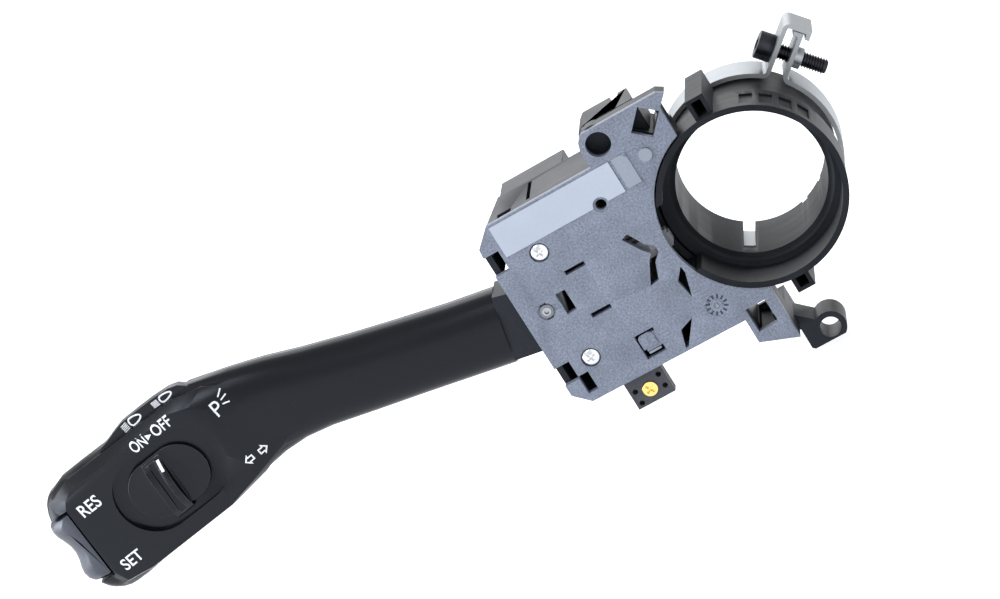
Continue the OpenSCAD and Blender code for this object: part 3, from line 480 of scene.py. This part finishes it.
# The cover's sunk details, in millimetres like all that is laid on it: the dished seat of the
# trunnion with its two keyways, and the channel from it to the window of the detent spring.
SEAT_R = 2.15
SEAT_DEPTH = 0.35
CHANNEL_START = 1
CHANNEL_END = -52.9
CHANNEL_HALF = 0.7
CHANNEL_DEPTH = 0.28
KEYS_AT = (1.6, -2.15)
KEY_HALF = 0.8
KEY_WIDTH = 0.55
KEY_DEPTH = 1.4
x, z = pivot.x * 1000, pivot.z * 1000
carve(cover, [lay(circle(x, z, SEAT_R, 40))], cover_face, SEAT_DEPTH)
channel = lay(rectangle(x + CHANNEL_START, z - CHANNEL_HALF, CHANNEL_END, z + CHANNEL_HALF))
carve(cover, [channel], cover_face, CHANNEL_DEPTH)
keyways = [lay(rectangle(x - KEY_HALF, z + key, x + KEY_HALF, z + key + KEY_WIDTH)) for key in KEYS_AT]
carve(cover, keyways, cover_face, KEY_DEPTH)

# The strip on the cover: a blank label of satin film, pressed on a raised field and cut out
# round the small hole. Its pale blue grey is painted reflection: a broad soft light mirrored in the
# smooth strip. Beside it lies a small blank field, moulded smooth. Both look flat and even beside
# the grain.
STRIP = (-58.2, 16.2, -25.2, 24.6)
HOLE = (-32.0, 16.2)
HOLE_R = 2.0
BLANK = [(-24.3, 16.4), (-20.6, 16.4), (-20.6, 23.4), (-21.9, 24.6), (-24.3, 24.6)]
FILM_SUNK = 0.0001
FILM_THICK = 0.05
field_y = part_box("cover_plate")[0][1] + FILM_SUNK
# The strip's pale tone is painted reflection.
label_painted_reflection = moulded("satin polyester film, pale as painted reflection", "#b2bac7", 0.5, 0.8, 0.04, 0.02, gloss=0.3)
notch = circle(*HOLE, HOLE_R, 24)[:13]
x0, z0, x1, z1 = STRIP
strip = lay([(x0, z0)] + notch[::-1] + [(x1, z0), (x1, z1), (x0, z1)])
press_on([strip], "label_strip", on_face(field_y), FILM_THICK, label_painted_reflection, "base")
smooth_grey = moulded("polished acetal, grey", "#8e949f", 0.3, 0.5, 0.1, 0.05)
press_on([lay(BLANK)], "blank_field", on_face(field_y), FILM_THICK, smooth_grey, "base")

# The round mark of a mould insert near the corner.
# It is a low blank disc, as smooth as the steel that it was pressed against.
MARK = (-16.6, 21.7)
MARK_R = 1.65
MARK_LIFT = 0.0001
MARK_THICK = 0.3
press_on([lay(circle(*MARK, MARK_R, 32))], "mould_mark", on_face(cover_face - MARK_LIFT), MARK_THICK,
         smooth_grey, "base")

# The mould's date wheel in the cover: a round insert that leaves sunk ticks in a ring, and inside
# them a fine ring and a pointer. The ticks are the last cut in the plate, so its edges are
# rounded here.
WHEEL = Vector((-21.0, -19.6))
TICKS = 12
TICK_FROM = 1.7
TICK_TO = 2.75
TICK_HALF = 0.26
TICK_DEPTH = 0.72
COVER_EDGE = 0.1
ticks = []
for i in range(TICKS):
    turn = 2 * pi * i / TICKS
    out = Vector((cos(turn), sin(turn)))
    side = Vector((-out.y, out.x)) * TICK_HALF
    near, far = WHEEL + out * TICK_FROM, WHEEL + out * TICK_TO
    ticks.append(lay([near - side, far - side, far + side, near + side]))
carve(cover, ticks, cover_face, TICK_DEPTH)
round_edges(cover, COVER_EDGE)

WHEEL_RING_R = 1.15
RING_LINE = 0.22
POINTER_HALF = 0.35
POINTER_BACK = 0.6
POINTER_TIP = 0.7
WHEEL_SUNK = 0.00015
WHEEL_THICK = 0.16
pointer = [WHEEL + Vector(corner) for corner in
           ((-POINTER_HALF, -POINTER_BACK), (POINTER_HALF, -POINTER_BACK), (0, POINTER_TIP))]
press_on([lay(circle(*WHEEL, WHEEL_RING_R, 20), RING_LINE), lay(pointer)], "date_wheel",
         on_face(cover_face + WHEEL_SUNK), WHEEL_THICK, smooth_grey, "base")

# The snap tongue of the cover and the tray's hook behind it: the tongue has a raised pad with
# two round corners, and the hook is a small bar in the slot below it.
PAD = (-41.9, -20.9, -37.9, -17.1)
PAD_CORNER = 1.1
PAD_THICK = 0.22
HOOK = (0.0034, 0.0012, 0.0007)
HOOK_AT = (-0.0396, cover_face + 0.0009, -0.0222)
x0, z0, x1, z1 = PAD
right = circle(x1 - PAD_CORNER, z1 - PAD_CORNER, PAD_CORNER, 24)[:7]
left = circle(x0 + PAD_CORNER, z1 - PAD_CORNER, PAD_CORNER, 24)[6:13]
# The pad takes the cover's grey, with its painted sheen.
tongue_pad = press_on([lay([(x0, z0), (x1, z0)] + right + left)], "snap_tongue_pad", on_face(cover_face),
                      PAD_THICK, cover_grey_painted_sheen, "base")
round_edges(tongue_pad, 0.08)
bpy.ops.object.select_all(action="DESELECT")
bpy.ops.mesh.primitive_cube_add(size=1, location=HOOK_AT, scale=HOOK)
hook = bpy.context.object
bpy.ops.object.transform_apply(location=True, scale=True)
round_edges(hook, 0.2)
keep(hook, "snap_hook", smooth_grey, "base")

# The two screws of the cover: nickel plated steel, cold headed as pan heads with a cross recess,
# and sunk in dished seats. They mirror the white around them, so the cross stands out dark.
nickel = metal("nickel plated steel", "#d2d4d7", 0.26, 0.5, EVEN, 0.03)
dress("cover_screws", 0.05, nickel)

# The terminal block below the case and its brass screw: black nylon with four test holes, dull
# from handling. Its grey, paler than the tray's nylon, is painted light for its tilted face, which
# catches more of the lamps. The turned brass is the one warm spot on the switch.
terminal_painted_light = moulded("glass filled nylon, dull, paler as painted light", "#47484b", 0.5, 0.35, 0.25, 0.15, gloss=0.3)
dress("terminal_block", 0.12, terminal_painted_light)
bright_brass = metal("brass, turned", "#ecd07e", 0.2, 0.3, EVEN)
dress("terminal_screw", 0.06, bright_brass)

# The two plug housings at the back and their blades: black nylon, and stamped brass blades
# pressed in from behind, which shine yellow in the dark of the plugs.
dress("connector_main", 0.15, black_nylon)
dress("connector_small", 0.15, black_nylon)
dress("connector_pins", 0.06, brass)
dress("small_pins", 0.06, brass)

# The column collar: cup, ledge and slit sleeve in one moulding of the same black nylon, with the
# dull streaks round it where the melt ran on both sides of the core.
flow_lined = moulded("glass filled nylon, black with flow lines", "#1d1f22", 0.46, 0.35, 0.2, 0.15,
                     gloss=0.13, flow_mm=1.6, cloud=0.45, drawn=(0.12, 1, 0.12))
dress("column_collar", 0.15, flow_lined)

# The two screws that hold the collar's saddle to the tray: zinc plated pan heads with a cross.
# One is made here and the other is its copy. The zinc has a greyish, blurred mirror.
HEAD_R = 0.0022
HEAD_LONG = 0.0015
SHANK_R = 0.0012
DOME = 0.0005
CROSS = (0.0026, 0.0018, 0.00055)
CROSS_TURNED = (radians(25), radians(115))
zinc = metal("zinc plated steel, rolled", "#a4a8ab", 0.46, 0.5, (0.05, 1, 0.05), 0.06)
low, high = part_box("collar_screws")
under_head = high.y - HEAD_LONG
x, z = (low.x + high.x) / 2, low.z + HEAD_R
bpy.ops.object.select_all(action="DESELECT")
bpy.ops.mesh.primitive_cylinder_add(vertices=48, radius=HEAD_R, depth=HEAD_LONG, rotation=(pi / 2, 0, 0),
                                    location=(x, under_head + HEAD_LONG / 2, z))
lower_screw = bpy.context.object
bpy.ops.object.transform_apply(location=True, rotation=True)
open_front(lower_screw, HEAD_R - SHANK_R, low.y - under_head)
modify(lower_screw, "BEVEL", width=DOME, segments=3, limit_method="ANGLE", angle_limit=radians(60))
for turn in CROSS_TURNED:
    bpy.ops.object.select_all(action="DESELECT")
    bpy.ops.mesh.primitive_cube_add(size=1, location=(x, high.y, z), rotation=(0, turn, 0), scale=CROSS)
    cutter = bpy.context.object
    modify(lower_screw, "BOOLEAN", object=cutter, operation="DIFFERENCE", solver="EXACT")
    bpy.data.objects.remove(cutter)
single_out(lower_screw)
bpy.ops.object.duplicate()
upper_screw = bpy.context.object
upper_screw.data.transform(Matrix.Translation((0, 0, high.z - low.z - 2 * HEAD_R)))
for name, screw in (("collar_screw_1", lower_screw), ("collar_screw_2", upper_screw)):
    keep(screw, name, zinc, "base")
    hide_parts("collar_screws")

# The clamp band: a strip of zinc plated steel bent round the sleeve, with its left ear folded
# over the right one, and a press nut in the right ear. The rolling leaves faint lines round it.
dress("clamp_band", 0.12, zinc)
dress("clamp_nut", 0.1, zinc)

# The clamp screw: an M4 socket head screw, cold headed, rolled and blackened in hot oxide.
# The thread and the knurl of the head catch the light on their crests.
EAR_ANGLE = radians(40)
THREAD_R = 0.00198
THREAD_DEPTH = 0.00045
THREAD_FLANK = 0.0002
THREAD_CREST = 0.0001
THREAD_STEPS = 28
PITCH = 0.0007
CORE_R = 0.00163
SOCKET_HEAD = 0.004
SOCKET_HEAD_R = 0.0035
SOCKET_R = 0.00175
SOCKET_DEPTH = 0.0016
KNURLS = 72
KNURL_FLOOR = 0.98
CHAMFER = 0.0003
black_oxide = metal("steel with black oxide", "#35363b", 0.36, 0.4, EVEN, 0.06)
screw_axis = Vector((-sin(EAR_ANGLE), 0, cos(EAR_ANGLE)))
corners = [v.co for v in frame["nodes"]["clamp_screw"].data.vertices]
lowest = min(c.dot(screw_axis) for c in corners)
highest = max(c.dot(screw_axis) for c in corners)
end = [c for c in corners if c.dot(screw_axis) < lowest + 1e-6]
tip = sum(end, Vector()) / len(end)
stem = highest - lowest - SOCKET_HEAD
upright = Matrix.Translation(tip) @ Matrix.Rotation(-EAR_ANGLE, 4, "Y")

bpy.ops.object.select_all(action="DESELECT")
bpy.ops.mesh.primitive_circle_add(vertices=4, radius=PITCH / 2, fill_type="NOTHING")
thread = bpy.context.object
tooth = [(-THREAD_DEPTH, 0), (0, THREAD_FLANK), (0, THREAD_FLANK + THREAD_CREST),
         (-THREAD_DEPTH, 2 * THREAD_FLANK + THREAD_CREST)]
for vertex, (inwards, height) in zip(thread.data.vertices, tooth):
    vertex.co = (THREAD_R + inwards, 0, height)
modify(thread, "SCREW", screw_offset=PITCH, iterations=int(stem / PITCH) - 1, steps=THREAD_STEPS,
       render_steps=THREAD_STEPS)
bpy.ops.object.mode_set(mode="EDIT")
bpy.ops.mesh.select_all(action="SELECT")
bpy.ops.mesh.fill_holes(sides=4)
bpy.ops.mesh.normals_make_consistent(inside=False)
bpy.ops.object.mode_set(mode="OBJECT")
thread.data.transform(Matrix.Translation((0, 0, CHAMFER)))

bpy.ops.object.select_all(action="DESELECT")
bpy.ops.mesh.primitive_cylinder_add(vertices=32, radius=CORE_R, depth=stem, location=(0, 0, stem / 2))
core = bpy.context.object
bpy.ops.object.transform_apply(location=True)
modify(core, "BEVEL", width=CHAMFER, segments=2, limit_method="ANGLE", angle_limit=radians(60))

bpy.ops.object.select_all(action="DESELECT")
bpy.ops.mesh.primitive_cylinder_add(vertices=KNURLS, radius=SOCKET_HEAD_R, depth=SOCKET_HEAD,
                                    location=(0, 0, stem + SOCKET_HEAD / 2))
knob = bpy.context.object
bpy.ops.object.transform_apply(location=True)
for vertex in knob.data.vertices:
    turned = Vector((vertex.co.x, vertex.co.y)).angle_signed(Vector((1, 0)))
    if round(KNURLS * (turned / (2 * pi))) % 2:
        vertex.co.x *= KNURL_FLOOR
        vertex.co.y *= KNURL_FLOOR
modify(knob, "BEVEL", width=CHAMFER, segments=2, limit_method="ANGLE", angle_limit=radians(75))
bpy.ops.object.select_all(action="DESELECT")
bpy.ops.mesh.primitive_cylinder_add(vertices=6, radius=SOCKET_R, depth=SOCKET_HEAD,
                                    location=(0, 0, stem + 1.5 * SOCKET_HEAD - SOCKET_DEPTH))
cutter = bpy.context.object
modify(knob, "BOOLEAN", object=cutter, operation="DIFFERENCE", solver="EXACT")
bpy.data.objects.remove(cutter)

bpy.ops.object.select_all(action="DESELECT")
for part in (core, knob, thread):
    part.select_set(True)
bpy.context.view_layer.objects.active = knob
bpy.ops.object.join()
clamp_screw = bpy.context.object
clamp_screw.data.transform(upright @ clamp_screw.matrix_world)
clamp_screw.matrix_world = Matrix.Identity(4)
keep(clamp_screw, "clamp_screw_finish", black_oxide, "base", smooth=30)
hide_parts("clamp_screw")

# The board and switches in the paddle, held by the back shell: the same black laminate, and
# small switches in glossy black cases.
switch_case = moulded("polyamide switch case, black", "#1b1c1e", 0.28, 0.5, 0.05, 0.05)
dress("lever_board", 0, board)
dress("slide_switch", 0.1, switch_case)
dress("rocker_switches", 0.08, switch_case)

# The stalk's two shells: black ABS with a fine etched grain, polished by the hand at its edges.
# The rounded edges take a paler, much glossier copy of the ABS: partly that polish, and partly a
# painted highlight that lights every edge. The front one carries the raised panel with the broad
# bevel, and the recess. The grain is some hundredths of a millimetre wide, and is drawn at 0.3 mm
# to show.
matt_black = moulded("fine grained ABS, black", "#0a0b0e", 0.27, 0.3, 0.12, 0.1, gloss=0.25, flow_mm=22)
edge_highlight_abs = moulded("fine grained ABS, polished edges with painted highlight", "#131519", 0.3, 0.3, 0.05, 0.1,
                    gloss=0.9)
dress("lever_back_shell", 0.25, matt_black, edge_highlight_abs)
front_shell = dress("lever_front_shell", 0.25, matt_black, edge_highlight_abs)

# The thumb slide: the same ABS, an oval plate with two ridges for the thumb.
# The taller ridge carries the white tick that is printed further on.
# Its rounded edges take the same painted edge highlight.
slide = dress("cruise_slider", 0.4, matt_black, edge_highlight_abs)

# The SET and RES rocker with its pin: one wavy piece of the same ABS in the end of the paddle.
# It is drawn in a paler, glossier copy of the ABS. This is a painted highlight for the light that
# falls on it from the lower left. Its edges take the painted edge highlight too.
rocker_painted_highlight = moulded("fine grained ABS, paler as painted highlight", "#1b1e26", 0.36, 0.3, 0.1, 0.08, gloss=0.7,
                     flow_mm=12)
dress("set_res_rocker", 0.3, rocker_painted_highlight, edge_highlight_abs)
dress("rocker_pin", 0.06, ground_steel)

# The signs on the stalk: white pad print, a few hundredths of a millimetre thick.
# They are the common signs of such a stalk. Each is drawn flat in the paddle's own directions,
# in millimetres, in front of it, and is then pressed back on the shell.
IN_FRONT = -0.016
ROCKER_PIVOT = Vector((-0.0226, 0, 0.0002))
PRINT_THICK = 0.04
STROKE = 0.36
print_white = moulded("pad print, white", "#e4e6e9", 0.5, 0.4, 0.1, 0.03)
joints = {j["name"]: j for j in frame["joints"]}
outwards = Vector(joints["cruise"]["axis"])
across = outwards.cross(Vector((0, -1, 0)))
paddle = Matrix.Translation(joints["set_res"]["pos_m"]) @ Matrix((
    (-outwards.x, 0, across.x, 0), (0, 1, 0, 0), (-outwards.z, 0, across.z, 0), (0, 0, 0, 1)))
paddle = paddle @ Matrix.Translation(-ROCKER_PIVOT)


def word(text, x0, z0, x1, z1, weight=0.01):
    bpy.ops.object.select_all(action="DESELECT")
    bpy.ops.object.text_add()
    letters = bpy.context.object
    letters.data.body = text
    letters.data.offset = weight
    letters.data.resolution_u = 6
    bpy.ops.object.convert(target="MESH")
    corners = [v.co for v in letters.data.vertices]
    left, right = min(c.x for c in corners), max(c.x for c in corners)
    bottom, top = min(c.y for c in corners), max(c.y for c in corners)
    wide, high = (x1 - x0) / (right - left) / 1000, (z1 - z0) / (top - bottom) / 1000
    start = Matrix.Translation((x0 / 1000, z0 / 1000, 0)) @ Matrix.Diagonal((wide, high, 1, 1))
    letters.data.transform(start @ Matrix.Translation((-left, -bottom, 0)))
    return letters


def bar(start, stop, width):
    start, stop = Vector(start), Vector(stop)
    side = (stop - start).orthogonal().normalized() * width / 2
    return lay([start - side, stop - side, stop + side, start + side])


LENS_LONG = 3.0
LENS_SHORT = 0.9
LENS_LINE = 0.42
RAY_FROM = 1.3
RAY_TO = 3.1
RAY_LINE = 0.2
RAYS_IN = 0.4


def lamp_sign(x, z, half, slope):
    lens = []
    for wide, high in circle(0, 0, 1, 32):
        lens.append((x + (LENS_LONG if wide > 0 else LENS_SHORT) * wide, z + half * high))
    rays = []
    for step in (1, 0.5, 0, -0.5, -1):
        height = z + (half - RAYS_IN) * step
        rays.append(bar((x - RAY_FROM, height), (x - RAY_TO, height + slope), RAY_LINE))
    return [lay(lens, LENS_LINE)] + rays


def arrow(x, z, way):
    outline = [(2.7, 0), (1.2, 1.45), (1.2, 0.75), (0, 0.75), (0, -0.75), (1.2, -0.75), (1.2, -1.45)]
    points = [(x + way * px, z + pz) for px, pz in outline]
    return lay(points if way > 0 else points[::-1], STROKE)


on_paddle = paddle @ on_face(IN_FRONT)
signs = (
    ("sign_res", [word("RES", -22.7, 6.1, -16.6, 9.5)]),
    ("sign_set", [word("SET", -24.2, -11.0, -18.2, -7.9)]),
    ("sign_on_off", [word("ON", -1.4, 10.85, 3.0, 13.9), lay([(3.5, 11.5), (5.1, 12.3), (3.5, 13.1)]),
                     word("OFF", 5.5, 10.85, 11.2, 13.9)]),
    ("sign_low_beam", lamp_sign(2.3, 17.0, 1.25, -0.25)),
    ("sign_high_beam", lamp_sign(12.2, 16.75, 1.1, 0.1)),
    ("sign_parking", [word("P", 20.9, 5.1, 23.1, 9.0, weight=0.0), bar((23.9, 9.0), (25.6, 10.2), STROKE),
                      bar((24.0, 8.0), (25.9, 8.4), STROKE), bar((23.7, 7.0), (25.5, 6.4), STROKE)]),
    ("sign_turn", [arrow(22.2, -8.1, 1), arrow(20.6, -7.9, -1)]))
for name, patches in signs:
    press_on(patches, name, on_paddle, PRINT_THICK, print_white, "lever", onto=front_shell)

# The white tick on the taller ridge of the thumb slide: the same pad print.
# It rides with the slide, and shows where the slide stands.
tick = lay([(0.95, 3.4), (1.75, 3.3), (2.15, 6.3), (1.3, 6.4)])
press_on([tick], "slide_tick", on_paddle, PRINT_THICK, print_white, "slider", onto=slide)
